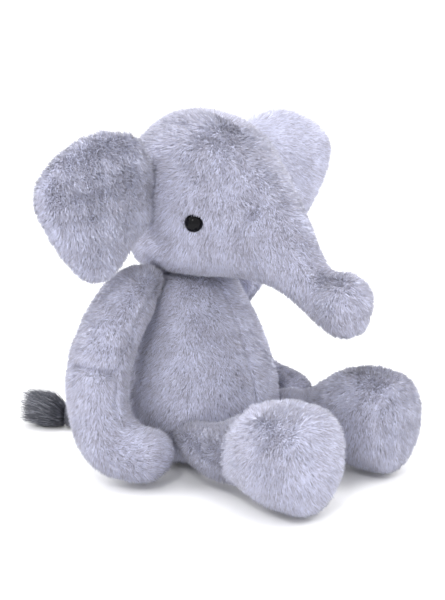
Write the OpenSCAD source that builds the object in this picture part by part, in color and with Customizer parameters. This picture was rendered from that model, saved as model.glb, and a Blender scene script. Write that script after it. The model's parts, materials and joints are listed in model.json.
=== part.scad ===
// Seated plush elephant: floppy limbs, long trunk, big ears and a tufted tail.
// Millimetres. The origin is the middle of the seat, on the floor; the elephant
// faces -Y, its right side is at -X, and +Z is up.

/* [Torso] */
// Height of the torso from the floor to the neck seam
torso_h = 138; // [130:1:144]
// Width of the torso across its belly
torso_w = 136; // [124:1:138]
// Depth of the torso from belly to back
torso_d = 126; // [112:1:128]
// Radius of the round panel that the elephant sits on
seat_r = 42; // [34:1:44]

/* [Head] */
// Length of the head from its back to the trunk seam
head_len = 101; // [92:1:104]
// Width of the head between the ears
head_w = 106; // [96:1:110]
// Height of the head from the neck to the crown
head_h = 130; // [120:1:134]
// Diameter of each glossy eye
eye_d = 12; // [8:1:15]

/* [Trunk] */
// Reach of the trunk forward of the face
trunk_len = 112; // [100:1:118]
// Diameter of the trunk where it joins the face
trunk_base_d = 82; // [74:1:88]
// Diameter of the trunk before its curled tip
trunk_tip_d = 39; // [34:1:43]

/* [Ears] */
// Width of each ear from its root to its outer edge
ear_w = 104; // [84:1:112]
// Height of each ear at its tallest
ear_h = 110; // [96:1:116]
// Thickness of each padded ear
ear_t = 22; // [14:1:24]

/* [Limbs] */
// Diameter of each arm at the elbow
arm_d = 50; // [42:1:52]
// Diameter of each leg above the ankle seam
leg_d = 54; // [46:1:56]
// Height of each foot from heel to toe
foot_h = 84; // [76:1:86]
// Width of each foot
foot_w = 76; // [66:1:78]

/* [Tail] */
// Length of the tail from the back of the torso to the tuft
tail_len = 60; // [50:1:66]
// Diameter of the tail
tail_d = 12; // [9:1:14]
// Length of the hair tuft
tuft_len = 34; // [28:1:42]

/* [Fabric] */
// Thickness of the plush fabric with its pile pressed down
fabric = 3; // [2:0.5:3.5]

/* [Hidden] */

plush = [0.63, 0.63, 0.74];
plush_shade = [0.56, 0.56, 0.67];
plush_light = [0.70, 0.70, 0.80];
filling_white = [0.94, 0.94, 0.92];
hair_grey = [0.33, 0.34, 0.39];
eye_black = [0.03, 0.03, 0.04];

X = [1, 0, 0];
Z = [0, 0, 1];
FOLLOW = [X];               // rings follow the path, angles count from +X
EAR = [Z, -X];              // an ear's rings all face outwards
LEG = [X, [0, -1, 0]];      // a leg's and a foot's rings all face forward

facet = 15;        // degrees of arc covered by one facet of a soft part
least = 0.6;       // smallest half-size that a panel closes down to
ease = 1;          // room between the fabric and the filling inside it
joint_gap = 1;     // room between two soft parts that move on each other
pole = 3;          // half-size of the puckered end of a sewn tube

neck_r = 11;       // radius of the firm plug of filling that holds the head up

// A soft part is a path of stations. Each station is
// [x, y, z, half size along the side direction, half size across it].

torso_path = smooth([
    [0, 0, 0, seat_r + fabric + 1, seat_r + fabric + 1],
    [0, 0, torso_h * 0.10, torso_w * 0.455, torso_d * 0.46],
    [0, 0, torso_h * 0.30, torso_w * 0.5, torso_d * 0.5],
    [0, 3, torso_h * 0.55, torso_w * 0.455, torso_d * 0.45],
    [0, 8, torso_h * 0.79, torso_w * 0.36, torso_d * 0.36],
    [0, 10, torso_h * 0.94, torso_w * 0.25, torso_d * 0.26],
    [0, 11, torso_h, neck_r + 1 + fabric, neck_r + 1 + fabric]], 2);

head_z = torso_h + joint_gap + 1 + head_h / 2;
head_back = head_len * 0.62;
head_path = smooth([
    [0, head_back, head_z, pole, pole],
    [0, head_back - head_len * 0.05, head_z, head_w * 0.23, head_h * 0.22],
    [0, head_back - head_len * 0.21, head_z, head_w * 0.41, head_h * 0.41],
    [0, head_back - head_len * 0.47, head_z, head_w * 0.5, head_h * 0.5],
    [0, head_back - head_len * 0.69, head_z - 1, head_w * 0.5, head_h * 0.49],
    [0, head_back - head_len * 0.86, head_z - 6, head_w * 0.46, head_h * 0.43],
    [0, head_back - head_len * 0.96, head_z - 11, head_w * 0.32, head_h * 0.29],
    [0, head_back - head_len, head_z - 13, pole, pole]], 2);

// Each trunk station is [reach, drop, girth] as shares of its length and of its base
trunk_root = [head_back - head_len - 3, head_z - 14];
trunk_path = smooth([for (s = [
    [0, 0, 0.035],
    [0.03, 0.01, 0.30],
    [0.12, 0.05, 0.49],
    [0.28, 0.15, 0.41],
    [0.44, 0.25, 0.31],
    [0.60, 0.36, 0.245],
    [0.72, 0.45, 0.25],
    [0.86, 0.465, 0.28],
    [0.97, 0.44, 0.2],
    [1.02, 0.43, 0.04]])
    let (size = s[2] * (s[0] < 0.5 ? trunk_base_d : trunk_tip_d / 0.46))
    [0, trunk_root[0] - s[0] * trunk_len, trunk_root[1] - s[1] * trunk_len, size, size]], 2);

// Each ear station is [out, shift up, half height, half thickness] as shares of its size
ear_root = [-head_w / 2 - 5, 7, head_z + 15];
ear_path = smooth([for (s = [
    [0, 0, 0.31, 0.18],
    [0.04, -0.01, 0.33, 0.34],
    [0.22, -0.08, 0.44, 0.5],
    [0.42, -0.12, 0.5, 0.5],
    [0.62, -0.09, 0.43, 0.46],
    [0.80, -0.03, 0.28, 0.36],
    [0.95, 0, 0.12, 0.2],
    [1, 0, 0.03, 0.1]])
    [ear_root[0] - s[0] * ear_w, ear_root[1] - s[0] * 6, ear_root[2] + s[1] * ear_h,
        s[2] * ear_h, s[3] * ear_t]], 2);

arm_r = arm_d / 2;
shoulder = [-torso_w / 2 + 4, 12, torso_h - 6];
// Middle of each arm between shoulder and hand, as [out, forward, height]; the right arm
// hangs out to the side, and the left one hangs closer in and further back
function arm_bends(side) = side == "right"
    ? [[20, 0, torso_h * 0.81], [33, 0, torso_h * 0.62], [37, 2, torso_h * 0.42], [36, 11, arm_r + 9],
        [28, 29, arm_r + 2], [17, 45, arm_r + 3]]
    : [[10, -16, torso_h * 0.79], [18, -25, torso_h * 0.60], [25, -24, torso_h * 0.37], [32, 0, arm_r + 4],
        [28, 22, arm_r + 1], [20, 42, arm_r + 2]];
function arm_path(side) = let (bends = arm_bends(side), girth = [1, 1.04, 1, 1, 1, 0.8]) smooth(concat([
    [shoulder[0] + 13, shoulder[1], shoulder[2] + 15, pole, pole],
    [shoulder[0] + 10, shoulder[1], shoulder[2] + 11, arm_r * 0.5, arm_r * 0.5],
    [shoulder[0], shoulder[1], shoulder[2], arm_r * 0.82, arm_r * 0.82]],
    [for (i = [0 : len(bends) - 1])
        [shoulder[0] - bends[i][0], shoulder[1] - bends[i][1], bends[i][2], arm_r * girth[i], arm_r * girth[i]]],
    [[shoulder[0] - bends[5][0] + 3, shoulder[1] - bends[5][1] - 9, bends[5][2] + 1, pole, pole]]), 2);

leg_r = leg_d / 2;
hip_r = leg_r * 0.56;
hip = [-47, -torso_d / 2 - 2, leg_r];
// The right leg is stretched out a little further, and its foot stands wider, than the left
function ankle_y(side) = hip[1] - (side == "right" ? 25 : 20);
function foot_x(side) = hip[0] - (side == "right" ? 9 : 1);
function leg_path(side) = smooth([
    [hip[0], hip[1] + hip_r, hip[2], pole, pole],
    [hip[0], hip[1] + hip_r * 0.75, hip[2], hip_r * 0.66, hip_r * 0.66],
    [hip[0], hip[1], hip[2], hip_r, hip_r],
    [hip[0] - 3, lerp(hip[1], ankle_y(side), 0.5), leg_r + 5, leg_r * 0.75, leg_r * 0.77],
    [hip[0] - 5, ankle_y(side), leg_r + 8, leg_r * 0.92, leg_r * 0.97]], 2);

// Each foot station is [x, reach from the ankle seam, z, half width, half height]
foot_len = foot_h * 0.88;
function sole_y(side) = ankle_y(side) - foot_len;
function foot_path(side) = smooth([
    [foot_x(side) + 2, ankle_y(side), leg_r + 9, leg_r * 0.95, leg_r],
    [foot_x(side) + 1, ankle_y(side) - foot_len * 0.17, foot_h * 0.47, foot_w * 0.42, foot_h * 0.40],
    [foot_x(side), ankle_y(side) - foot_len * 0.48, foot_h * 0.5, foot_w * 0.49, foot_h * 0.485],
    [foot_x(side), ankle_y(side) - foot_len * 0.77, foot_h * 0.5, foot_w * 0.49, foot_h * 0.495],
    [foot_x(side), sole_y(side), foot_h * 0.5, foot_w * 0.38, foot_h * 0.39]], 2);
function sole_path(side) = [for (a = [0 : 15 : 75])
    [foot_x(side), sole_y(side) - 6 * sin(a), foot_h * 0.5, foot_w * 0.37 * cos(a), foot_h * 0.38 * cos(a)]];

pellet_r = seat_r - 4;
pellet_h = 16;
pellet_top = fabric + ease + pellet_h;
neck_h = 20;
neck_low = torso_h + 0.5 - neck_h;

tail_yaw = 28;     // the tail lies a little to the elephant's right
tail_root = [-6, torso_d / 2 + 3, tail_d / 2 + 12];
tail_dir = [-sin(tail_yaw), cos(tail_yaw), 0];
function tail_at(s, z) = [tail_root[0] + tail_dir[0] * s, tail_root[1] + tail_dir[1] * s, z];
tail_z = tail_d * 0.85;
tail_tip_r = tail_d * 0.4;
tail_path = smooth([
    concat(tail_at(0, tail_root[2]), [tail_d * 0.2, tail_d * 0.2]),
    concat(tail_at(4, tail_root[2] - 1), [tail_d / 2, tail_d / 2]),
    concat(tail_at(tail_len * 0.5, tail_z), [tail_d / 2, tail_d / 2]),
    concat(tail_at(tail_len, tail_z), [tail_tip_r, tail_tip_r])], 3);
binding_w = 5;     // width of the thread wound round the end of the tail
binding_r = tail_tip_r + fabric + 1.5;
binding_path = [for (s = [0, binding_w]) concat(tail_at(tail_len - 7 + s, tail_z), [binding_r, binding_r])];
tuft_start = tail_len + 0.5;
tuft_r = 11.5;
tuft_path = smooth([for (s = [[0, 0.36], [0.2, 0.7], [0.5, 1], [0.8, 0.72], [1, 0.2]])
    concat(tail_at(tuft_start + s[0] * tuft_len, tuft_r + 3), [tuft_r * s[1], tuft_r * s[1]])], 2);

// Where each eye sits on the side of the head, and the way it looks out
eye_place = [-head_w * 0.392, head_back - head_len * 0.93, head_z - 13];
eye_yaw = 46;      // degrees forward from straight out to the side

function unit(v) = v / norm(v);
function lerp(a, b, t) = a + (b - a) * t;
function xyz(s) = [s[0], s[1], s[2]];

// A point on the smooth curve through stations b and c, with neighbours a and d
function blend(a, b, c, d, t) =
    0.5 * (2 * b + (c - a) * t + (2 * a - 5 * b + 4 * c - d) * t ^ 2 + (3 * b - a - 3 * c + d) * t ^ 3);

// The stations of a smooth path, with a number of steps between each given pair
function smooth(path, steps) = let (last = len(path) - 1) concat(
    [for (i = [0 : last - 1], j = [0 : steps - 1])
        blend(path[max(i - 1, 0)], path[i], path[i + 1], path[min(i + 2, last)], j / steps)],
    [path[last]]);

// The stations without the first and last few
function inner_part(path, cut) = [for (i = [cut : len(path) - 1 - cut]) path[i]];

// Direction of travel at station i
function heading(path, i) =
    unit(xyz(path[min(i + 1, len(path) - 1)]) - xyz(path[max(i - 1, 0)]));

// One point of the oval ring at station i, drawn in by an inset. The lay gives the side
// direction that angles count from and, where the rings must not tilt, the way they all face.
function ring_point(path, i, lay, inset, a) =
    let (side = lay[0], t = is_undef(lay[1]) ? heading(path, i) : lay[1],
        u = unit(side - (side * t) * t), v = cross(t, u), s = path[i])
    xyz(s) + u * max(s[3] - inset, least) * cos(a) + v * max(s[4] - inset, least) * sin(a);

function ring(path, i, lay, inset, from, to, parts) =
    [for (j = [0 : parts]) ring_point(path, i, lay, inset, from + (to - from) * j / parts)];

function quad(a, b, c, d) = [[a, b, c], [a, c, d]];
function joined(lists) = [for (one = lists) each one];

// A sewn panel: the part of a tube's wall between two angles, closed on all its edges
module panel(path, lay, from, to) {
    rows = len(path);
    parts = max(3, round((to - from) / facet));
    row = parts + 1;
    outside = joined([for (i = [0 : rows - 1]) ring(path, i, lay, 0, from, to, parts)]);
    inside = joined([for (i = [0 : rows - 1]) ring(path, i, lay, fabric, from, to, parts)]);
    size = rows * row;
    walls = joined([for (i = [0 : rows - 2], j = [0 : parts - 1])
        let (a = i * row + j, b = a + 1, c = b + row, d = a + row)
        concat(quad(a, d, c, b), quad(size + a, size + b, size + c, size + d))]);
    seams = joined([for (i = [0 : rows - 2])
        let (a = i * row, b = a + row, c = a + parts, d = c + row)
        concat(quad(a, size + a, size + b, b), quad(c, d, size + d, size + c))]);
    ends = joined([for (j = [0 : parts - 1])
        let (a = j, b = a + 1, c = (rows - 1) * row + j, d = c + 1)
        concat(quad(a, b, size + b, size + a), quad(c, size + c, size + d, d))]);
    polyhedron(concat(outside, inside), concat(walls, seams, ends));
}

// The filling inside a sewn tube
module filling(path, lay) {
    rows = len(path);
    parts = 16;
    points = joined([for (i = [0 : rows - 1])
        [for (j = [0 : parts - 1]) ring_point(path, i, lay, fabric + ease, j * 360 / parts)]]);
    walls = joined([for (i = [0 : rows - 2], j = [0 : parts - 1])
        let (a = i * parts + j, b = i * parts + (j + 1) % parts, c = b + parts, d = a + parts)
        quad(a, d, c, b)]);
    first = [for (j = [0 : parts - 1]) j];
    last = [for (j = [parts - 1 : -1 : 0]) (rows - 1) * parts + j];
    polyhedron(points, concat(walls, [first, last]));
}

// Draws its children as they are for the right side, and mirrored for the left
module on_side(side) {
    if (side == "right") children();
    else mirror(X) children();
}

module torso_panel(from) { color(plush) panel(torso_path, FOLLOW, from, from + 90); }
module seat_panel() { color(plush_shade) cylinder(h = fabric, r = seat_r, $fn = 96); }
module torso_stuffing() {
    color(filling_white) difference() {
        filling(inner_part(torso_path, 1), FOLLOW);
        translate([0, 0, -1]) cylinder(h = pellet_top + 1 + ease, r = pellet_r + ease, $fn = 48);
        translate([0, 11, neck_low - ease]) cylinder(h = neck_h + 2 * ease, r = neck_r + ease / 2, $fn = 48);
    }
}
module pellet_bag() {
    color("tan") translate([0, 0, fabric + ease]) cylinder(h = pellet_h, r = pellet_r, $fn = 48);
}
module neck_stuffing() {
    color(filling_white) translate([0, 11, neck_low]) cylinder(h = neck_h, r = neck_r, $fn = 48);
}

// Space for an eye's stem and washer, through the head's side panel
stem_d = 4;
module at_eye() { translate(eye_place) rotate([0, 0, eye_yaw]) rotate([0, -90, 0]) children(); }
module head_side(side) {
    color(plush) difference() {
        on_side(side) panel(head_path, FOLLOW, 118, 250);
        on_side(side) at_eye() translate([0, 0, -20]) cylinder(h = 40, d = stem_d + 0.4, $fn = 32);
    }
}
module head_gusset() { color(plush_light) panel(head_path, FOLLOW, 62, 118); }
module head_chin() { color(plush_shade) panel(head_path, FOLLOW, 250, 290); }
module head_stuffing() {
    color(filling_white) difference() {
        filling(inner_part(head_path, 1), FOLLOW);
        for (side = ["right", "left"])
            on_side(side) at_eye() translate([0, 0, -16]) cylinder(h = 30, d = eye_d + 2, $fn = 32);
    }
}
eye_sink = 0.5;    // how far the flat back of the eye stands off the fabric
module eye(side) {
    color(eye_black) on_side(side) at_eye() {
        translate([0, 0, eye_sink]) intersection() {
            scale([1, 1, 0.75]) sphere(d = eye_d, $fn = 48);
            translate([0, 0, eye_d / 2]) cube([eye_d * 2, eye_d * 2, eye_d], center = true);
        }
        translate([0, 0, -10]) cylinder(h = 10 + eye_sink + 1, d = stem_d, $fn = 32);
    }
}
module eye_washer(side) {
    color("white") on_side(side) at_eye() translate([0, 0, -9.7]) difference() {
        cylinder(h = 1.2, d = eye_d - 1, $fn = 48);
        translate([0, 0, -1]) cylinder(h = 4, d = stem_d, $fn = 32);
    }
}

module trunk_side(side) { color(plush) on_side(side) panel(trunk_path, FOLLOW, 120, 270); }
module trunk_top_gusset() { color(plush_light) panel(trunk_path, FOLLOW, 60, 120); }
module trunk_stuffing() { color(filling_white) filling(inner_part(trunk_path, 1), FOLLOW); }

module ear_front(side) { color(plush_light) on_side(side) panel(ear_path, EAR, 180, 360); }
module ear_back(side) { color(plush) on_side(side) panel(ear_path, EAR, 0, 180); }
module ear_batting(side) { color(filling_white) on_side(side) filling(inner_part(ear_path, 2), EAR); }

module arm_outer(side) { color(plush) on_side(side) panel(arm_path(side), FOLLOW, 90, 270); }
module arm_inner(side) { color(plush_shade) on_side(side) panel(arm_path(side), FOLLOW, 270, 450); }
module arm_stuffing(side) { color(filling_white) on_side(side) filling(inner_part(arm_path(side), 1), FOLLOW); }

module leg_outer(side) { color(plush) on_side(side) panel(leg_path(side), LEG, 90, 270); }
module leg_inner(side) { color(plush_shade) on_side(side) panel(leg_path(side), LEG, 270, 450); }
module leg_stuffing(side) { color(filling_white) on_side(side) filling(inner_part(leg_path(side), 1), LEG); }
module foot_outer(side) { color(plush) on_side(side) panel(foot_path(side), LEG, 90, 270); }
module foot_inner(side) { color(plush_shade) on_side(side) panel(foot_path(side), LEG, 270, 450); }
module sole(side) { color(plush_light) on_side(side) filling(sole_path(side), LEG); }
module foot_stuffing(side) { color(filling_white) on_side(side) filling(inner_part(foot_path(side), 1), LEG); }

module tail_tube() { color(plush) panel(tail_path, FOLLOW, 92, 448); }
module tail_binding() { color(hair_grey) panel(binding_path, FOLLOW, 92, 448); }
module tail_tuft() { color(hair_grey) filling(tuft_path, FOLLOW); }

torso_panel(180);  // torso_front_right
torso_panel(270);  // torso_front_left
torso_panel(90);  // torso_back_right
torso_panel(0);  // torso_back_left
seat_panel();
torso_stuffing();
pellet_bag();
neck_stuffing();
head_side("right");  // head_side_right
head_side("left");  // head_side_left
head_gusset();
head_chin();
head_stuffing();
eye("right");  // eye_right
eye("left");  // eye_left
eye_washer("right");  // eye_washer_right
eye_washer("left");  // eye_washer_left
trunk_side("right");  // trunk_side_right
trunk_side("left");  // trunk_side_left
trunk_top_gusset();
trunk_stuffing();
ear_front("right");  // ear_front_right
ear_back("right");  // ear_back_right
ear_batting("right");  // ear_batting_right
ear_front("left");  // ear_front_left
ear_back("left");  // ear_back_left
ear_batting("left");  // ear_batting_left
arm_outer("right");  // arm_outer_right
arm_inner("right");  // arm_inner_right
arm_stuffing("right");  // arm_stuffing_right
arm_outer("left");  // arm_outer_left
arm_inner("left");  // arm_inner_left
arm_stuffing("left");  // arm_stuffing_left
leg_outer("right");  // leg_outer_right
leg_inner("right");  // leg_inner_right
leg_stuffing("right");  // leg_stuffing_right
foot_outer("right");  // foot_outer_right
foot_inner("right");  // foot_inner_right
sole("right");  // sole_right
foot_stuffing("right");  // foot_stuffing_right
leg_outer("left");  // leg_outer_left
leg_inner("left");  // leg_inner_left
leg_stuffing("left");  // leg_stuffing_left
foot_outer("left");  // foot_outer_left
foot_inner("left");  // foot_inner_left
sole("left");  // sole_left
foot_stuffing("left");  // foot_stuffing_left
tail_tube();
tail_binding();
tail_tuft();
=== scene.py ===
"""The looks of a seated plush elephant: puffed sewn skins, fur, eyes, tail hair and a studio."""
import math
import bpy
import numpy as np
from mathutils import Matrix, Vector
from mathutils.bvhtree import BVHTree
from mathutils.kdtree import KDTree
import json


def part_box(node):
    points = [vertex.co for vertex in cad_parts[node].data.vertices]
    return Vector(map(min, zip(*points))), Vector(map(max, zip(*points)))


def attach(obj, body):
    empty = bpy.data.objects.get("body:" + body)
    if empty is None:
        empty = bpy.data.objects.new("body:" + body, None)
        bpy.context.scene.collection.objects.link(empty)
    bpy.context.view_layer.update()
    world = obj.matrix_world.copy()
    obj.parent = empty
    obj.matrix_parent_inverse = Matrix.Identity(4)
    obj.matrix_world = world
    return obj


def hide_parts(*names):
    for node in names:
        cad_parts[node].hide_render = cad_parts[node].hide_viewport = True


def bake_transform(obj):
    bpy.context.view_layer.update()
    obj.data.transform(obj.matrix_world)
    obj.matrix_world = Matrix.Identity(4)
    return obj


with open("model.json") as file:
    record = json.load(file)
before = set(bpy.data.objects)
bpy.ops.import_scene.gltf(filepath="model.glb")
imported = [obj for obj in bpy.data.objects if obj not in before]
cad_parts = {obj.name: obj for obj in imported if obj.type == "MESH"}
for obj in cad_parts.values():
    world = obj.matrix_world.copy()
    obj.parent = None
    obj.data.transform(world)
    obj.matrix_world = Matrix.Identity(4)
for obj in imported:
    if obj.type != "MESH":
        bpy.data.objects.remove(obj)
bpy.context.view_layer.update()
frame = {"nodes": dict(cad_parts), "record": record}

MM = 0.001
SIDES = {"right": -1, "left": 1}   # the elephant's right side is at -X
PILE = 5.0 * MM                    # how far the fur stands off the skin
INSET = PILE + 1.5 * MM            # how far a skin starts inside the CAD surface, before it is puffed
EAR_INSET = 1.5 * MM
SKIN_VOXEL = 4.0 * MM
RING = 40                          # points round one ring of a loft
SEAM_WIDTH = 2.6 * MM
SEAM_DEPTH = 2.4 * MM
PUFF_CAP = 5.0 * MM                # furthest that the simulation may move a point
PUFF_FRAMES = 20
PUFF_PRESSURE = 4.0
TRUNK_FOLD_ROW = 7                 # the trunk's ring where its base meets the brow
ELBOW_ROW = 24                     # an arm's ring at the elbow's crease
RIDGE_ROW = 6                      # a foot's ring just in front of the ankle seam

PILE_LENGTH = 6.2 * MM
PILE_WIDTH = 0.48 * MM             # half-size of one tuft at its root
PILE_DENSITY = 1.9e6               # tufts to a square metre
PILE_LEAN = 48                     # degrees that the pile leans over
PILE_CELL = 2.4 * MM               # tufts within a cell this wide draw together
TUFTS_PER_MESH = 49000
FLOOR_ROOM = 0.4 * MM              # nothing soft reaches lower than this
THIRD = math.radians(120)

EYE_PROUD = 1.5 * MM               # how far an eye stands off the skin
EYE_YAW = 46                       # degrees forward from straight out to the side
EYE_GROWTH = 1.12                  # the dome against the eye's node, since pile hides the node's rim
EYE_FLATNESS = 0.8                 # the dome's height against its radius
EYE_WRAP = 115                     # degrees of the dome, from its middle to its rolled-in rim
EYE_BARE = 7 * MM                  # radius without pile round an eye
EYE_REACH = 40 * MM                # how far outside the head the search for its skin starts


# ---------------------------------------------------------------- places from the frame

def span(*nodes):
    """Lowest and highest corners of several CAD nodes together."""
    boxes = [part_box(node) for node in nodes]
    low = np.min([np.array(box[0]) for box in boxes], axis=0)
    high = np.max([np.array(box[1]) for box in boxes], axis=0)
    return low, high


def joint_place(name):
    """Where a joint's axis passes, at rest."""
    found = next(j for j in frame["record"]["behaviour"]["joints"] if j["name"] == name)
    return np.array(found["pos_m"])


def unit(v):
    return v / np.linalg.norm(v)


# ---------------------------------------------------------------- lofts

def smooth_path(stations, steps=6):
    """Stations [x, y, z, half side, half across] with smooth steps between each given pair."""
    s = np.array(stations, float)
    last = len(s) - 1
    rows = []
    for i in range(last):
        a, b, c, d = s[max(i - 1, 0)], s[i], s[i + 1], s[min(i + 2, last)]
        for t in np.arange(steps) / steps:
            rows.append(0.5 * (2 * b + (c - a) * t + (2 * a - 5 * b + 4 * c - d) * t ** 2
                               + (3 * b - a - 3 * c + d) * t ** 3))
    rows.append(s[last])
    return np.array(rows)


def ring_axes(path, side, facing=None):
    """The two directions that each ring's half sizes lie along."""
    middle = path[:, :3]
    heading = np.gradient(middle, axis=0)
    if facing is not None:
        heading = np.tile(np.array(facing, float), (len(path), 1))
    heading /= np.linalg.norm(heading, axis=1)[:, None]
    side = np.array(side, float)
    u = side - (heading @ side)[:, None] * heading
    u /= np.linalg.norm(u, axis=1)[:, None]
    return u, np.cross(heading, u)


def line_at(path, side, angle, facing=None, out=0.0):
    """The line that runs along a loft at one angle round it, such as a seam."""
    u, v = ring_axes(path, side, facing)
    a = math.radians(angle)
    size = np.maximum(path[:, 3:5] + out, 0.3 * MM)
    return path[:, :3] + u * (size[:, :1] * math.cos(a)) + v * (size[:, 1:2] * math.sin(a))


def ring_line(path, side, row, facing=None, turn=(0, 360), steps=36):
    """The line round one ring of a loft, or round a part of it."""
    u, v = ring_axes(path, side, facing)
    angles = np.radians(np.linspace(turn[0], turn[1], steps + 1))[:, None]
    return path[row, :3] + u[row] * (path[row, 3] * np.cos(angles)) + v[row] * (path[row, 4] * np.sin(angles))


def loft(path, side, facing=None):
    """Points and faces of a closed tube through the stations."""
    u, v = ring_axes(path, side, facing)
    angles = np.arange(RING) * 2 * np.pi / RING
    size = np.maximum(path[:, 3:5], 0.3 * MM)
    points = (path[:, None, :3] + u[:, None] * (size[:, None, :1] * np.cos(angles)[None, :, None])
              + v[:, None] * (size[:, None, 1:2] * np.sin(angles)[None, :, None])).reshape(-1, 3)
    faces = []
    for i in range(len(path) - 1):
        for j in range(RING):
            a, b = i * RING + j, i * RING + (j + 1) % RING
            faces.append((a, a + RING, b + RING, b))
    faces.append(tuple(range(RING)))
    faces.append(tuple(len(points) - 1 - k for k in range(RING)))
    return points, faces


def mirrored(path, side):
    """A path drawn for the right side, as it is or mirrored for the left."""
    path = np.array(path, float)
    if side == "left":
        path[:, 0] *= -1
    return path


# ---------------------------------------------------------------- meshes

def new_object(name, points, faces):
    mesh = bpy.data.meshes.new(name)
    mesh.from_pydata([tuple(p) for p in points], [], faces)
    mesh.update()
    piece = bpy.data.objects.new(name, mesh)
    bpy.context.scene.collection.objects.link(piece)
    return piece


def get_points(piece):
    co = np.empty(len(piece.data.vertices) * 3, np.float32)
    piece.data.vertices.foreach_get("co", co)
    return co.reshape(-1, 3).astype(float)


def set_points(piece, points):
    piece.data.vertices.foreach_set("co", points.astype(np.float32).ravel())
    piece.data.update()


def get_normals(piece):
    normals = np.empty(len(piece.data.vertices) * 3, np.float32)
    piece.data.vertex_normals.foreach_get("vector", normals)
    return normals.reshape(-1, 3).astype(float)


def apply_modifiers(piece):
    graph = bpy.context.evaluated_depsgraph_get()
    made = bpy.data.meshes.new_from_object(piece.evaluated_get(graph), depsgraph=graph)
    old = piece.data
    piece.modifiers.clear()
    piece.data = made
    bpy.data.meshes.remove(old)


def relax(piece, rounds, share=0.5):
    """Evens a mesh out by moving each point towards the middle of its neighbours."""
    count = len(piece.data.vertices)
    ends = np.empty(len(piece.data.edges) * 2, np.int32)
    piece.data.edges.foreach_get("vertices", ends)
    a, b = ends.reshape(-1, 2).T
    degree = np.bincount(np.concatenate([a, b]), minlength=count)[:, None]
    points = get_points(piece)
    for _ in range(rounds):
        total = np.zeros_like(points)
        for k in range(3):
            total[:, k] = (np.bincount(a, points[b, k], count) + np.bincount(b, points[a, k], count))
        points += share * (total / np.maximum(degree, 1) - points)
    set_points(piece, points)


def dense(line, step=1.5 * MM):
    """A line with points no further apart than a step."""
    line = np.array(line, float)
    out = [line[:1]]
    for a, b in zip(line[:-1], line[1:]):
        n = max(1, int(np.linalg.norm(b - a) / step))
        out.append(a + (b - a) * (np.arange(1, n + 1) / n)[:, None])
    return np.concatenate(out)


def distance_to(lines, points):
    """How far each point is from the nearest of the lines."""
    if not lines:
        return np.full(len(points), 1.0)
    spots = np.concatenate([dense(line) for line in lines])
    tree = KDTree(len(spots))
    for i, spot in enumerate(spots):
        tree.insert(spot, i)
    tree.balance()
    return np.array([tree.find(p)[2] for p in points])


def puff(piece, seams):
    """Blows a sewn skin up like a stuffed one: its seams hold and the panels between them swell."""
    points = get_points(piece)
    near = distance_to(seams, points)
    hold = piece.vertex_groups.new(name="seams")
    for i in np.nonzero(near < SKIN_VOXEL)[0]:
        hold.add([int(i)], 1.0, "REPLACE")
    cloth = piece.modifiers.new("cloth", "CLOTH")
    cloth.settings.use_pressure = True
    cloth.settings.uniform_pressure_force = PUFF_PRESSURE
    cloth.settings.quality = 4
    cloth.settings.vertex_group_mass = "seams"
    cloth.settings.effector_weights.gravity = 0.0
    cloth.collision_settings.use_collision = False
    for number in range(1, PUFF_FRAMES + 1):
        bpy.context.scene.frame_set(number)
    graph = bpy.context.evaluated_depsgraph_get()
    swollen = piece.evaluated_get(graph).to_mesh()
    moved = np.empty(len(points) * 3, np.float32)
    swollen.vertices.foreach_get("co", moved)
    shift = moved.reshape(-1, 3) - points
    piece.modifiers.clear()
    bpy.context.scene.frame_set(1)
    length = np.linalg.norm(shift, axis=1)[:, None]
    set_points(piece, points + shift * np.minimum(1.0, PUFF_CAP / np.maximum(length, 1e-9)))


def groove(piece, lines, width=SEAM_WIDTH, depth=SEAM_DEPTH):
    """Draws a skin in along its seams."""
    if not lines:
        return
    points = get_points(piece)
    near = distance_to(lines, points)
    set_points(piece, points - get_normals(piece) * (depth * np.exp(-(near / width) ** 2))[:, None])


def laid_on(piece, lines):
    """The same lines moved onto the nearest places of a skin."""
    points = get_points(piece)

    def nearest(spot):
        return points[np.argmin(np.linalg.norm(points - spot, axis=1))]
    return [np.array([nearest(spot) for spot in line]) for line in lines]


def skin(name, lofts, seams, inset, soften=3, voxel=SKIN_VOXEL, depth=SEAM_DEPTH):
    """One sewn skin: its lofts joined into one closed mesh, drawn in for the pile, puffed and seamed."""
    points, faces = [], []
    for made_points, made_faces in lofts:
        start = sum(len(p) for p in points)
        points.append(made_points)
        faces += [tuple(start + k for k in face) for face in made_faces]
    piece = new_object(name, np.concatenate(points), faces)
    remesh = piece.modifiers.new("remesh", "REMESH")
    remesh.mode = "VOXEL"
    remesh.voxel_size = voxel
    apply_modifiers(piece)
    relax(piece, soften)
    for _ in range(4):
        set_points(piece, get_points(piece) - get_normals(piece) * inset / 4)
        relax(piece, 1)
    puff(piece, seams)
    subdivide = piece.modifiers.new("subdivide", "SUBSURF")
    subdivide.levels = subdivide.render_levels = 1
    apply_modifiers(piece)
    groove(piece, seams, depth=depth)
    piece.data.shade_smooth()
    return piece


# ---------------------------------------------------------------- fur

def wave(points, size, turn):
    """Smooth values from -1 to 1 that change over about a given size."""
    k = 2 * math.pi / size
    x, y, z = (points * k).T
    return (np.sin(x + 1.7 * np.sin(0.6 * y + turn)) + np.sin(y + 1.3 * np.sin(0.7 * z + 2 * turn))
            + np.sin(z + 1.5 * np.sin(0.5 * x + 3 * turn))) / 3


def triangles_of(piece):
    mesh = piece.data
    mesh.calc_loop_triangles()
    corners = np.empty(len(mesh.loop_triangles) * 3, np.int32)
    mesh.loop_triangles.foreach_get("vertices", corners)
    return corners.reshape(-1, 3)


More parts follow.
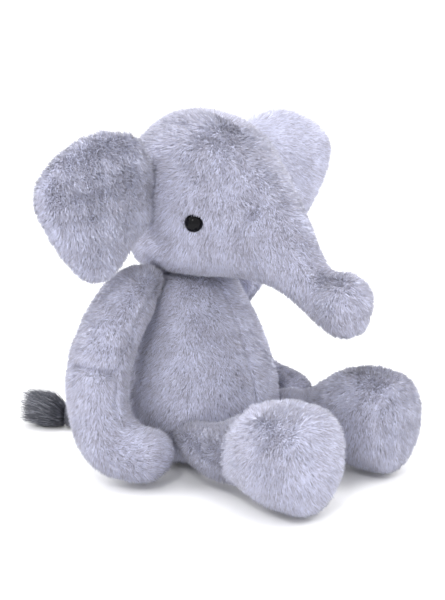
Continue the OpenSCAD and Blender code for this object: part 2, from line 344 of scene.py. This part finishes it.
def scatter(piece, density, dice):
    """Places and skin directions spread evenly over a skin."""
    points, normals, corners = get_points(piece), get_normals(piece), triangles_of(piece)
    a, b, c = points[corners[:, 0]], points[corners[:, 1]], points[corners[:, 2]]
    area = np.linalg.norm(np.cross(b - a, c - a), axis=1) / 2
    count = int(area.sum() * density)
    pick = dice.choice(len(area), count, p=area / area.sum())
    r1, r2 = np.sqrt(dice.random(count))[:, None], dice.random(count)[:, None]
    w = (1 - r1, r1 * (1 - r2), r1 * r2)
    place = sum(w[k] * points[corners[pick, k]] for k in range(3))
    out = sum(w[k] * normals[corners[pick, k]] for k in range(3))
    return place, out / np.linalg.norm(out, axis=1)[:, None]


def across(vectors, normals):
    """The part of each vector that lies along the skin, at length 1."""
    flat = vectors - (vectors * normals).sum(1)[:, None] * normals
    return flat / np.maximum(np.linalg.norm(flat, axis=1)[:, None], 1e-9)


def clump(values, places, size):
    """The mean of the values within each small cell of space."""
    cell = np.floor(places / size).astype(np.int64)
    _, index = np.unique(cell, axis=0, return_inverse=True)
    index = index.ravel()
    count = np.bincount(index)
    mean = np.stack([np.bincount(index, values[:, k]) / count for k in range(3)], axis=1)
    return mean[index]


def tufts(name, root, tip, out, width, materials, tint):
    """A mesh of thin closed three-sided tufts, each one clump of pile."""
    count = len(root)
    along = unit_rows(tip - root)
    u = unit_rows(np.cross(along, out) + 1e-6)
    v = np.cross(along, u)
    turn = tint * 2.4
    ring = []
    for k in range(3):
        angle = (turn + k * THIRD)[:, None]
        ring.append(root + width[:, None] * (u * np.cos(angle) + v * np.sin(angle)))
    points = np.stack(ring + [tip], axis=1).reshape(-1, 3)
    start = np.arange(count)[:, None] * 4
    sides = ((0, 1, 3), (1, 2, 3), (2, 0, 3), (0, 2, 1))
    faces = np.concatenate([start + np.array(corners) for corners in sides], axis=1)
    mesh = bpy.data.meshes.new(name)
    mesh.vertices.add(len(points))
    mesh.vertices.foreach_set("co", points.astype(np.float32).ravel())
    mesh.loops.add(faces.size)
    mesh.loops.foreach_set("vertex_index", faces.astype(np.int32).ravel())
    mesh.polygons.add(count * 4)
    mesh.polygons.foreach_set("loop_start", np.arange(0, faces.size, 3, dtype=np.int32))
    mesh.update()
    for material in materials:
        mesh.materials.append(material)
    shade = np.repeat(np.clip(tint * len(materials), 0, len(materials) - 1).astype(np.int32), 4)
    mesh.polygons.foreach_set("material_index", shade)
    mesh.polygons.foreach_set("use_smooth", np.ones(count * 4, bool))
    soft = np.repeat(out, 4, axis=0)
    soft[3::4] += 0.5 * along
    side = points - np.repeat(root, 4, axis=0)
    side[3::4] = 0
    soft += 0.35 * unit_rows(side + 1e-9)
    mesh.normals_split_custom_set_from_vertices(unit_rows(soft).astype(np.float32))
    piece = bpy.data.objects.new(name, mesh)
    bpy.context.scene.collection.objects.link(piece)
    return piece


def unit_rows(rows):
    return rows / np.maximum(np.linalg.norm(rows, axis=1)[:, None], 1e-12)


def fur(name, piece, flow, seed, seams=(), length=PILE_LENGTH, bare=(), painted_light_shift=0.0):
    """Pile over one skin, as meshes of tufts.

    flow gives the way it is brushed at each place, bare lists (place, radius) without pile,
    and the last argument paints the whole pile paler or, below zero, darker, as painted light and shade
    for how the light falls on each part.
    """
    dice = np.random.default_rng(seed)
    root, out = scatter(piece, PILE_DENSITY * (1.0), dice)
    keep = np.ones(len(root), bool)
    for place, radius in bare:
        keep &= np.linalg.norm(root - np.array(place), axis=1) > radius
    root, out = root[keep], out[keep]
    way = across(flow(root, out), out)
    other = np.cross(out, way)
    swirl = (0.5 * wave(root, 38 * MM, seed) + 0.35 * wave(root, 13 * MM, seed + 2)
             + dice.normal(0, 0.35, len(root)))
    way = way * np.cos(swirl)[:, None] + other * np.sin(swirl)[:, None]
    lean = PILE_LEAN + 9 * wave(root, 21 * MM, seed + 1.3) + dice.normal(0, 13, len(root))
    tilt = np.radians(np.clip(lean, 8, 80))
    grown = length * dice.uniform(0.65, 1.12, len(root))
    for place, radius in bare:
        near = np.linalg.norm(root - np.array(place), axis=1)
        grown *= np.clip((near - radius) / (6 * MM) + 0.3, 0.3, 1)
    if seams:
        near = distance_to(seams, root)
        grown *= 1 - 0.35 * np.exp(-(near / (3 * MM)) ** 2)
    reach = (out * np.cos(tilt)[:, None] + way * np.sin(tilt)[:, None]) * grown[:, None]
    gathered = clump(reach, root, PILE_CELL) + clump(root, root, PILE_CELL) - root
    reach = 0.72 * reach + 0.28 * gathered
    tip = root + reach
    tip[:, 2] = np.maximum(tip[:, 2], FLOOR_ROOM)
    low = root - 0.6 * MM * out
    low[:, 2] = np.maximum(low[:, 2], FLOOR_ROOM + PILE_WIDTH)
    # The part's shift moves every tuft to a paler or darker shade: painted light and shade for how the light
    # falls on that part.
    tint = 0.5 + painted_light_shift + 0.12 * wave(root, 27 * MM, seed + 4.1) + dice.normal(0, 0.24, len(root))
    tint = np.clip(tint, 0, 0.999)
    size = PILE_WIDTH * dice.uniform(0.7, 1.25, len(root))
    made = []
    parts = int(np.ceil(len(root) / TUFTS_PER_MESH))
    order = np.arange(len(root)) % parts
    for k in range(parts):
        one = order == k
        made.append(tufts(f"{name}_{k + 1}", low[one], tip[one], out[one], size[one],
                          fur_materials, tint[one]))
    return made


# ---------------------------------------------------------------- materials

def shader(name, colour, rough, sheen=0.0, sheen_rough=0.5, coat=0.0, specular=0.5):
    """A material and its shader node, with its plain values set on the shader itself."""
    material = bpy.data.materials.new(name)
    material.use_nodes = True
    node = material.node_tree.nodes["Principled BSDF"]
    node.inputs["Base Color"].default_value = (*colour, 1)
    node.inputs["Roughness"].default_value = rough
    node.inputs["Sheen Weight"].default_value = sheen
    node.inputs["Sheen Roughness"].default_value = sheen_rough
    node.inputs["Sheen Tint"].default_value = (0.93, 0.93, 1.0, 1)
    node.inputs["Coat Weight"].default_value = coat
    node.inputs["Specular IOR Level"].default_value = specular
    return material, node


def mottled(name, dark, light, size, bump, rough=0.9, sheen=0.3, specular=0.2):
    """Cloth whose colour drifts between two shades, with a fine grain."""
    material, node = shader(name, light, rough, sheen, specular=specular)
    nodes, links = material.node_tree.nodes, material.node_tree.links
    place = nodes.new("ShaderNodeTexCoord")
    drift = nodes.new("ShaderNodeTexNoise")
    drift.inputs["Scale"].default_value = 1 / size
    drift.inputs["Detail"].default_value = 6
    links.new(place.outputs["Object"], drift.inputs["Vector"])
    ramp = nodes.new("ShaderNodeValToRGB")
    ramp.color_ramp.elements[0].position = 0.3
    ramp.color_ramp.elements[0].color = (*dark, 1)
    ramp.color_ramp.elements[1].position = 0.7
    ramp.color_ramp.elements[1].color = (*light, 1)
    links.new(drift.outputs["Fac"], ramp.inputs["Fac"])
    links.new(ramp.outputs["Color"], node.inputs["Base Color"])
    grain = nodes.new("ShaderNodeTexNoise")
    grain.inputs["Scale"].default_value = 900
    grain.inputs["Detail"].default_value = 4
    links.new(place.outputs["Object"], grain.inputs["Vector"])
    raised = nodes.new("ShaderNodeBump")
    raised.inputs["Strength"].default_value = bump
    raised.inputs["Distance"].default_value = 0.6 * MM
    links.new(grain.outputs["Fac"], raised.inputs["Height"])
    links.new(raised.outputs["Normal"], node.inputs["Normal"])
    return material


LILAC = np.array([0.54, 0.545, 0.675])
# The backing cloth keeps its own lilac but is darkened well below the pile: painted shade for the roots seen
# in the gaps between tufts.
backing_with_painted_shade = mottled("plush_backing_painted_shade", tuple(LILAC * 0.5), tuple(LILAC * 0.72), 9 * MM, 0.6)
PILE_SHADES = (("deep", 0.66, (1.04, 1, 0.98)), ("dark", 0.88, (1.02, 1, 0.99)), ("mid", 1.06, (1, 1, 1)),
               ("light", 1.22, (0.99, 1, 1.01)), ("bright", 1.40, (0.98, 1, 1.01)))
HAIR_SHADES = (("black", (0.03, 0.032, 0.042)), ("charcoal", (0.065, 0.068, 0.085)),
               ("grey", (0.13, 0.135, 0.16)), ("pale", (0.30, 0.31, 0.36)))
fur_materials = [shader(f"pile_{word}", tuple(LILAC * bright * np.array(cast)), 0.75, 0.25, specular=0.25)[0]
                 for word, bright, cast in PILE_SHADES]
hair_materials = [shader(f"hair_{word}", colour, 0.5, specular=0.5)[0] for word, colour in HAIR_SHADES]
eye_gloss = shader("eye_gloss", (0.003, 0.003, 0.004), 0.06, specular=0.12)[0]
filling_fibre = mottled("filling_fibre", (0.75, 0.75, 0.73), (0.92, 0.92, 0.90), 6 * MM, 0.8)
pellet_cloth = mottled("pellet_cloth", (0.55, 0.49, 0.36), (0.68, 0.62, 0.48), 3 * MM, 0.7)
washer_white = mottled("washer_white", (0.80, 0.80, 0.78), (0.88, 0.88, 0.86), 5 * MM, 0.1, 0.5, 0.0, 0.5)
thread_grey = mottled("thread_grey", (0.03, 0.031, 0.038), (0.08, 0.082, 0.10), 2 * MM, 0.8)


# ---------------------------------------------------------------- studio

def area_light(name, place, target, size, power):
    light = bpy.data.lights.new(name, "AREA")
    light.shape = "DISK"
    light.size = size
    light.energy = power
    lamp = bpy.data.objects.new(name, light)
    lamp.location = place
    lamp.rotation_euler = (Vector(target) - Vector(place)).to_track_quat("-Z", "Y").to_euler()
    bpy.context.scene.collection.objects.link(lamp)


def studio():
    """The camera, a plain pale floor, soft light from above and both sides, and a glint for the eyes."""
    azimuth, elevation, away = math.radians(-49), math.radians(14), 1.05
    target = Vector((3, -20, 124)) * MM
    back = Vector((math.sin(azimuth) * math.cos(elevation), -math.cos(azimuth) * math.cos(elevation),
                   math.sin(elevation)))
    camera = bpy.data.cameras.new("camera")
    camera.sensor_width = 36
    camera.lens = 82.7
    view = bpy.data.objects.new("camera", camera)
    view.location = target + back * away
    view.rotation_euler = (-back).to_track_quat("-Z", "Y").to_euler()
    bpy.context.scene.collection.objects.link(view)
    bpy.context.scene.camera = view
    floor = new_object("floor", [(-6, -6, 0), (6, -6, 0), (6, 6, 0), (-6, 6, 0)], [(0, 1, 2, 3)])
    floor.data.materials.append(shader("floor_white", (0.92, 0.92, 0.93), 0.9, specular=0.1)[0])
    world = bpy.data.worlds.new("studio")
    world.use_nodes = True
    world.node_tree.nodes["Background"].inputs["Color"].default_value = (1, 1, 1, 1)
    world.node_tree.nodes["Background"].inputs["Strength"].default_value = 1.4
    bpy.context.scene.world = world
    area_light("left", (-1.2, 1.0, 1.3), target, 1.3, 13)
    area_light("right", (0.95, -1.2, 1.2), target, 1.3, 13)
    area_light("top", (0.1, 0.1, 1.9), target, 1.3, 7)
    area_light("glint", (-0.95, -0.55, 1.0), target, 0.2, 4)
    bpy.context.scene.view_settings.view_transform = "Standard"


studio()


# ---------------------------------------------------------------- the body's parts

X, Z, FRONT = (1, 0, 0), (0, 0, 1), (0, -1, 0)


def nodes_of(body):
    return frame["record"]["behaviour"]["bodies"][body]


def soft_nodes(body):
    """The panels and fillings of a body, which one padded skin stands for."""
    hard = ("eye", "pellet", "tail")
    return [node for node in nodes_of(body) if not node.startswith(hard)]


def finish_skin(piece, nodes):
    piece.data.materials.clear()
    piece.data.materials.append(backing_with_painted_shade)
    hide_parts(*nodes)


def off_floor(piece, gap=3 * MM):
    points = get_points(piece)
    points[:, 2] = np.maximum(points[:, 2], gap)
    set_points(piece, points)


def torso():
    low, high = span(*soft_nodes("torso"))
    w, d, h = high - low
    seat = (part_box("seat_panel")[1][0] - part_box("seat_panel")[0][0]) / 2 + 4 * MM
    path = smooth_path([(0, shift * MM, h * up, a, b) for up, shift, a, b in (
        (0, 0, seat, seat), (0.10, 0, w * 0.455, d * 0.46), (0.30, 0, w * 0.5, d * 0.5),
        (0.55, 3, w * 0.46, d * 0.455), (0.79, 8, w * 0.38, d * 0.38), (0.94, 10, w * 0.32, d * 0.31),
        (1.04, 11, w * 0.25, d * 0.24), (1.08, 12, w * 0.15, d * 0.15))])
    seams = [line_at(path, X, angle, out=-INSET) for angle in (90, 270)]
    piece = skin("torso_skin", [loft(path, X)], seams, INSET)
    off_floor(piece)
    finish_skin(piece, soft_nodes("torso"))
    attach(piece, "torso")

    def flow(places, out):
        way = np.tile([0.0, 0.0, -1.0], (len(places), 1))
        way[:, 0] = places[:, 0] / w * 1.2
        return way
    # The torso's pile is painted a little paler: painted light.
    made = fur("torso_fur", piece, flow, 11, seams, painted_light_shift=0.02)
    for one in made:
        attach(one, "torso")


def head_and_trunk():
    low, high = span(*soft_nodes("head"))
    w, length, h = high - low
    back, middle = high[1], (low[2] + high[2]) / 2
    head = smooth_path([(0, back - length * out, middle + length * up, w * a, h * b) for out, up, a, b in (
        (0, 0, 0.03, 0.03), (0.05, 0, 0.23, 0.22), (0.21, 0, 0.41, 0.41), (0.47, 0, 0.5, 0.5),
        (0.69, -0.01, 0.5, 0.49), (0.86, -0.06, 0.46, 0.43), (0.96, -0.11, 0.34, 0.31),
        (1, -0.13, 0.2, 0.2))])
    root = joint_place("trunk_lift")
    reach = root[1] - span(*soft_nodes("trunk"))[0][1]
    base, tip = 82 * MM, 39 / 0.46 * MM
    trunk = smooth_path([(0, root[1] - out * reach, root[2] - drop * reach, size * girth * 0.94, size * girth)
                         for out, drop, girth, size in (
        (-0.10, 0, 0.40, base), (0.12, 0.05, 0.49, base), (0.28, 0.15, 0.41, base),
        (0.44, 0.25, 0.31, base), (0.59, 0.37, 0.24, tip), (0.68, 0.43, 0.245, tip), (0.77, 0.44, 0.30, tip),
        (0.87, 0.44, 0.325, tip), (0.95, 0.43, 0.26, tip), (1.0, 0.43, 0.1, tip))])
    brow = smooth_path([(0, ahead * MM, root[2] + rise * MM, a * MM, b * MM) for ahead, rise, a, b in (
        (22, 21, 22, 30), (8, 23, 38, 42), (-20, 19, 44, 45), (-46, 9, 39, 43), (-76, -12, 26, 32),
        (-100, -30, 17, 22), (-110, -35, 9, 11))])
    jowl = smooth_path([(0, ahead * MM, root[2] + rise * MM, a * MM, b * MM) for ahead, rise, a, b in (
        (50, -18, 14, 14), (42, -22, 37, 27), (16, -24, 48, 27), (-12, -22, 47, 27), (-36, -20, 41, 26),
        (-60, -21, 33, 25), (-84, -30, 23, 20), (-96, -36, 12, 10))])
    crown = [line_at(head, X, angle, out=-INSET) for angle in (62, 118)]
    chin = [line_at(head, X, angle, out=-INSET) for angle in (250, 290)]
    bridge = [line_at(trunk, X, angle, out=-INSET)[6:] for angle in (60, 120, 270)]
    seams = crown + chin + bridge
    lofts = [loft(path, X) for path in (head, trunk, brow, jowl)]
    piece = skin("head_skin", lofts, seams, INSET - 2 * MM, soften=12, depth=1.5 * MM)
    brow_folds = [line_at(brow, X, angle)[8:19] for angle in (30, 150)]
    groove(piece, laid_on(piece, brow_folds), width=8 * MM, depth=2 * MM)
    root_folds = [ring_line(trunk, X, TRUNK_FOLD_ROW, turn=turn) for turn in ((0, 50), (130, 180))]
    groove(piece, laid_on(piece, root_folds), width=7 * MM, depth=2.4 * MM)
    finish_skin(piece, soft_nodes("head") + soft_nodes("trunk"))
    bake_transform(piece)

    def flow(places, out):
        forwards = np.clip(0.5 + (root[1] - places[:, 1]) / (90 * MM), 0, 1)
        way = np.zeros_like(places)
        way[:, 0] = 0.25 * np.sign(places[:, 0])
        way[:, 1] = 0.45 - 1.2 * forwards
        way[:, 2] = -0.8
        return way
    surface = BVHTree.FromObject(piece, bpy.context.evaluated_depsgraph_get())
    for side in SIDES:
        way = eye_way(side)
        hit = surface.ray_cast(Vector(eye_place(side) + way * EYE_REACH), Vector(-way))[0]
        eye_dome(side, np.array(hit) + way * EYE_PROUD)
    eyes = [(eye_place(side), EYE_BARE) for side in SIDES]
    # The head's pile is painted a little darker: painted shade.
    made = fur("head_fur", piece, flow, 23, seams, bare=eyes, painted_light_shift=-0.04)
    for one in made:
        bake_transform(one)


def ear(side):
    root = joint_place("ear_right_flap")
    low, high = span(*nodes_of("ear_right"))
    wide, high_z, thick = high[0] - low[0], high[2] - low[2], 22 * MM
    path = smooth_path([(root[0] - out * wide, root[1] - out * 6 * MM, root[2] + shift * high_z,
                         half * high_z, t * thick) for out, shift, half, t in (
        (-0.24, -0.16, 0.10, 0.14), (-0.16, -0.13, 0.18, 0.24), (0.03, -0.03, 0.33, 0.42),
        (0.22, -0.09, 0.44, 0.50), (0.42, -0.13, 0.495, 0.52), (0.62, -0.11, 0.43, 0.5),
        (0.80, -0.05, 0.3, 0.42), (0.93, -0.01, 0.17, 0.3), (0.985, 0, 0.07, 0.16))])
    path[:, 3:5] = np.maximum(path[:, 3:5] - EAR_INSET, 2.5 * MM)
    path = mirrored(path, side)
    facing = (SIDES[side], 0, 0)
    seams = [line_at(path, Z, angle, facing) for angle in (0, 180)]
    piece = skin(f"ear_skin_{side}", [loft(path, Z, facing)], seams, 0, voxel=3 * MM, depth=0)
    finish_skin(piece, soft_nodes(f"ear_{side}"))
    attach(piece, f"ear_{side}")

    def flow(places, out):
        way = np.tile([SIDES[side] * 0.9, 0.0, -0.55], (len(places), 1))
        way[:, 2] += (places[:, 2] - root[2]) / high_z * 1.2
        return way
    # The ears' pile is painted paler: painted light.
    made = fur(f"ear_fur_{side}", piece, flow, 31 if side == "right" else 37, painted_light_shift=0.06)
    for one in made:
        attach(one, f"ear_{side}")


def arm(side):
    shoulder = joint_place("arm_right_swing")
    top = span(*soft_nodes("torso"))[1][2]
    r = 25 * MM
    bends = ([(20, 0, top * 0.81), (34, 0, top * 0.62), (38, 2, top * 0.42), (36, 11, r + 9 * MM),
              (28, 29, r + 1 * MM), (16, 46, r + 1 * MM)] if side == "right" else
             [(2, -22, top * 0.79), (9, -31, top * 0.60), (18, -28, top * 0.37), (30, -2, r + 4 * MM),
              (28, 22, r + MM), (20, 42, r + 2 * MM)])
    stations = [(shoulder[0] + 33 * MM, shoulder[1], shoulder[2] + 3 * MM, r * 0.5, r * 0.5),
                (shoulder[0] + 17 * MM, shoulder[1], shoulder[2] + 10 * MM, r * 0.74, r * 0.74),
                (shoulder[0], shoulder[1], shoulder[2] + 2 * MM, r * 0.98, r * 0.98)]
    for (out, ahead, height), girth in zip(bends, (1.05, 1.08, 1.02, 1.02, 1, 0.86)):
        stations.append((shoulder[0] - out * MM, shoulder[1] - ahead * MM, height, r * girth, r * girth))
    out, ahead, height = bends[-1]
    stations.append((shoulder[0] - (out - 4) * MM, shoulder[1] - (ahead + 11) * MM, height + MM,
                     5 * MM, 5 * MM))
    path = mirrored(smooth_path(stations), side)
    seams = [line_at(path, X, angle, out=-INSET) for angle in (90, 270)]
    piece = skin(f"arm_skin_{side}", [loft(path, X)], seams, INSET)
    turn = (100, 200) if side == "right" else (-20, 80)
    elbow = laid_on(piece, [ring_line(path, X, ELBOW_ROW, turn=turn)])
    groove(piece, elbow, width=4 * MM, depth=4.5 * MM)
    off_floor(piece)
    finish_skin(piece, soft_nodes(f"arm_{side}"))
    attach(piece, f"arm_{side}")
    tree = KDTree(len(path))
    for i, row in enumerate(path):
        tree.insert(row[:3], i)
    tree.balance()
    heading = np.gradient(path[:, :3], axis=0)

    def flow(places, out):
        return np.array([heading[tree.find(p)[1]] for p in places])
    made = fur(f"arm_fur_{side}", piece, flow, 41 if side == "right" else 43, seams + elbow)
    for one in made:
        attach(one, f"arm_{side}")


def leg(side):
    hip = joint_place("leg_right_lift")
    low, high = span(*[node for node in soft_nodes(f"leg_{side}") if node.startswith("foot")])
    foot_w, foot_h = high[0] - low[0], high[2]
    ankle = high[1]
    middle = -abs((low[0] + high[0]) / 2)
    length = ankle - low[1]
    r = 27 * MM
    thigh = smooth_path([
        (hip[0] - 6 * MM, hip[1] + 46 * MM, hip[2] + 6 * MM, 8 * MM, 8 * MM),
        (hip[0] - 6 * MM, hip[1] + 30 * MM, hip[2] + 4 * MM, 17 * MM, 18 * MM),
        (hip[0] - 5 * MM, hip[1] + 4 * MM, r + 1 * MM, r * 0.86, r * 0.9),
        (hip[0] - 5 * MM, ankle + 4 * MM, r + 8 * MM, r * 1.05, r * 1.12),
        (middle, ankle - 14 * MM, r + 10 * MM, r * 0.9, r)])
    foot = smooth_path([
        (middle + 2 * MM, ankle + 1 * MM, r + 10 * MM, r * 1.0, r * 1.05),
        (middle + 1 * MM, ankle - length * 0.17, foot_h * 0.48, foot_w * 0.44, foot_h * 0.42),
        (middle, ankle - length * 0.44, foot_h * 0.5, foot_w * 0.5, foot_h * 0.5),
        (middle, ankle - length * 0.74, foot_h * 0.5, foot_w * 0.5, foot_h * 0.505),
        (middle, ankle - length * 0.96, foot_h * 0.5, foot_w * 0.44, foot_h * 0.45),
        (middle, ankle - length * 1.08, foot_h * 0.5, foot_w * 0.1, foot_h * 0.1)])
    thigh, foot = mirrored(thigh, side), mirrored(foot, side)
    ankle_ring = ring_line(foot, X, 1, FRONT)
    sole_ring = ring_line(foot, X, 22, FRONT)
    seams = [ankle_ring, sole_ring, line_at(foot, X, 90, FRONT, out=-INSET)[:23]]
    piece = skin(f"leg_skin_{side}", [loft(thigh, X, FRONT), loft(foot, X, FRONT)], seams, INSET)
    ridge = laid_on(piece, [ring_line(foot, X, RIDGE_ROW, FRONT, turn=(45, 135))])
    groove(piece, ridge, width=5 * MM, depth=-2 * MM)
    off_floor(piece)
    finish_skin(piece, soft_nodes(f"leg_{side}"))
    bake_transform(piece)
    whorl = np.array([(foot_w * 0.22 - middle) * SIDES[side], ankle - length * 0.35, foot_h * 0.86])

    def flow(places, out):
        way = places - whorl
        behind = (places[:, 1] > ankle)[:, None]
        return np.where(behind, np.array([0.0, -1.0, 0.1]), way)
    made = fur(f"leg_fur_{side}", piece, flow, 53 if side == "right" else 59, seams)
    for one in made:
        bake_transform(one)


def tail():
    root = joint_place("tail_swing")
    low, high = span("tail_tube")
    tube_end = np.array([low[0] + 3 * MM, high[1] - 1 * MM, low[2] + 6 * MM])
    along = unit(np.array([tube_end[0] - root[0], tube_end[1] - root[1], 0]))
    length = np.linalg.norm((tube_end - root)[:2])
    height = 10 * MM
    path = smooth_path([(*(root - along * 8 * MM), 5 * MM, 5 * MM),
                        (*(root + along * 4 * MM), 5 * MM, 5 * MM),
                        (*(root[:2] + along[:2] * length * 0.5), height, 4.5 * MM, 4.5 * MM),
                        (*(root[:2] + along[:2] * length), height, 4.5 * MM, 4.5 * MM)])
    piece = skin("tail_skin", [loft(path, X)], [], 1 * MM, voxel=2 * MM)
    finish_skin(piece, ["tail_tube"])
    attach(piece, "tail")

    def flow(places, out):
        return np.tile(along, (len(places), 1))
    made = fur("tail_fur", piece, flow, 61, length=5.5 * MM)
    for one in made:
        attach(one, "tail")
    tail_hair(root[:2] + along[:2] * (length - 2 * MM), along, height, span("tail_tuft")[1][1])


def tail_hair(start, along, height, far):
    """The tuft: long bent strands that leave the end of the tail in a loose brush, paler at their tips."""
    dice = np.random.default_rng(71)
    count = 5200
    long = (far - start[1]) / along[1]
    across_way = np.array([-along[1], along[0], 0])
    angle = dice.uniform(0, 2 * np.pi, count)
    spread = np.sqrt(dice.random(count))
    ring = (np.cos(angle)[:, None] * across_way + np.sin(angle)[:, None] * np.array(Z)) * spread[:, None]
    root = np.array([*start, height]) + ring * 4.5 * MM
    reach = long * (0.3 + 0.85 * dice.beta(1.7, 1.9, count))[:, None]
    lift = np.array([0, 0, 1.0]) * 7 * MM
    stops = []
    for share, fan in ((0.0, 0.0), (0.2, 0.55), (0.6, 0.85), (1.0, 1.0)):
        wander = dice.normal(0, 1.6 * MM, (count, 3)) * share
        spot = root + along * reach * share + ring * 9.5 * MM * fan + wander + lift * share
        spot[:, 2] = np.maximum(spot[:, 2], 0.6 * MM)
        stops.append(spot)
    tint = np.clip(dice.beta(1.6, 3.6, count), 0, 0.999)
    piece = strands("tail_hair", stops, 0.3 * MM, hair_materials, tint)
    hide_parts("tail_tuft")
    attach(piece, "tail")


def strands(name, stops, width, materials, tint):
    """Bent three-sided strands through several stops, thinning to a point at the last."""
    count, rows = len(tint), len(stops)
    rings = []
    for i, spot in enumerate(stops):
        along = unit_rows(stops[min(i + 1, rows - 1)] - stops[max(i - 1, 0)])
        u = unit_rows(np.cross(along, np.array(Z)) + 1e-6)
        v = np.cross(along, u)
        size = width * (1 - (i / (rows - 1)) ** 2 * 0.9)
        rings += [spot + size * (u * math.cos(k * THIRD) + v * math.sin(k * THIRD)) for k in range(3)]
    points = np.stack(rings, axis=1).reshape(-1, 3)
    pattern = [(0, 2, 1), (rows * 3 - 3, rows * 3 - 2, rows * 3 - 1)]
    for i in range(rows - 1):
        for k in range(3):
            a, b = i * 3 + k, i * 3 + (k + 1) % 3
            pattern += [(a, b, b + 3), (a, b + 3, a + 3)]
    faces = (np.arange(count)[:, None, None] * rows * 3 + np.array(pattern)[None]).reshape(-1, 3)
    piece = new_object(name, points, faces.tolist())
    for material in materials:
        piece.data.materials.append(material)
    shade = np.repeat((tint * len(materials)).astype(np.int32), len(pattern)).reshape(count, -1)
    shade[:, -6:] = np.minimum(shade[:, -6:] + 1, len(materials) - 1)
    shade = shade.ravel()
    piece.data.polygons.foreach_set("material_index", shade)
    piece.data.shade_smooth()
    return piece


def eye_way(side):
    yaw = math.radians(EYE_YAW)
    return np.array([SIDES[side] * math.cos(yaw), -math.sin(yaw), 0])


def eye_place(side):
    """The middle of an eye's dome, a little inside the outer corner of its node's box."""
    low, high = (np.array(corner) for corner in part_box(f"eye_{side}"))
    radius = (high[2] - low[2]) / 2
    corner = np.array([high[0] if side == "left" else low[0], low[1], (low[2] + high[2]) / 2])
    return corner + np.array([-SIDES[side] * radius * 0.8, radius * 0.85, 0])


def eye_dome(side, centre):
    """A glossy dome with a rolled-in back edge, set a little into the fur."""
    low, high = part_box(f"eye_{side}")
    radius = (high[2] - low[2]) / 2 * EYE_GROWTH
    way, u = eye_way(side), np.array(Z, float)
    v = np.cross(way, u)
    rows, parts = 16, 48
    points, faces = [centre + way * radius * EYE_FLATNESS], []
    for i in range(1, rows + 1):
        a = math.radians(EYE_WRAP) * i / rows
        for j in range(parts):
            b = 2 * math.pi * j / parts
            points.append(centre + way * radius * EYE_FLATNESS * math.cos(a)
                          + (u * math.cos(b) + v * math.sin(b)) * radius * math.sin(a))
    for j in range(parts):
        faces.append((0, 1 + j, 1 + (j + 1) % parts))
    for i in range(rows - 1):
        for j in range(parts):
            a, b = 1 + i * parts + j, 1 + i * parts + (j + 1) % parts
            faces.append((a, a + parts, b + parts, b))
    faces.append(tuple(1 + (rows - 1) * parts + j for j in range(parts))[::-1])
    piece = new_object(f"eye_dome_{side}", points, faces)
    piece.data.materials.append(eye_gloss)
    piece.data.shade_smooth()
    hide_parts(f"eye_{side}")
    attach(piece, "head")


def inner_pieces():
    """Materials for the CAD pieces that stay inside the skins."""
    finishes = {"neck_stuffing": filling_fibre, "pellet_bag": pellet_cloth, "eye_washer_right": washer_white,
                "eye_washer_left": washer_white, "tail_binding": thread_grey}
    for node, material in finishes.items():
        frame["nodes"][node].data.materials.clear()
        frame["nodes"][node].data.materials.append(material)


torso()
head_and_trunk()
for side in SIDES:
    ear(side)
    arm(side)
    leg(side)
tail()
inner_pieces()
